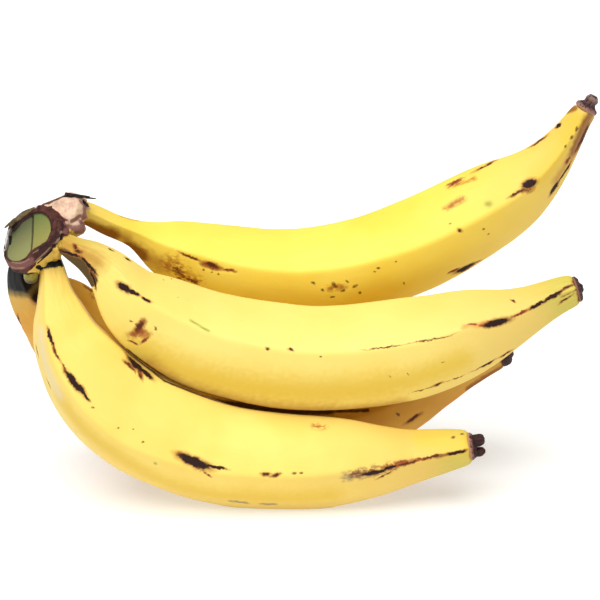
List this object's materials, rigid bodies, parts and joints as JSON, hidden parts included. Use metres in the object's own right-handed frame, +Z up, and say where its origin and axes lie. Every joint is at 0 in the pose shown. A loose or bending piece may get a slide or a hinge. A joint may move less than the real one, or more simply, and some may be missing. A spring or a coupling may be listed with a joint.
{
  "type": "hand of plantains",
  "caption": "Hand of ripe yellow plantains joined at a cut crown, with dried flower ends, lying curved side down.",
  "frame": {"origin": "middle of the underside of the bounding box, on the surface that the two lower fruits rest on", "axes": "+X from the crown towards the flower ends, +Y from the front fruits to the rear fruits, +Z up"},
  "size_m": [0.2972, 0.1078, 0.1964],
  "materials": {
    "plantain_skin": "smooth waxy ripe yellow skin with brown specks and ridge streaks, soft satin sheen",
    "crown_stalk": "fibrous cut stalk: matt green-brown cut face, purple-brown rim, pale pinkish flank",
    "stub_skin": "olive yellow undeveloped fruit, satin",
    "dry_flower_end": "matt dried blossom end, dark brown, wrinkled"
  },
  "bodies": {
    "root": {"fruit_upper_rear": "plantain_skin", "fruit_upper_front": "plantain_skin", "fruit_lower_front": "plantain_skin", "fruit_lower_rear": "plantain_skin", "dry_end_upper_rear": "dry_flower_end", "dry_end_upper_front": "dry_flower_end", "dry_end_lower_front": "dry_flower_end", "dry_end_lower_rear": "dry_flower_end", "crown": "crown_stalk", "stub_finger": "stub_skin"}
  },
  "joints": []
}
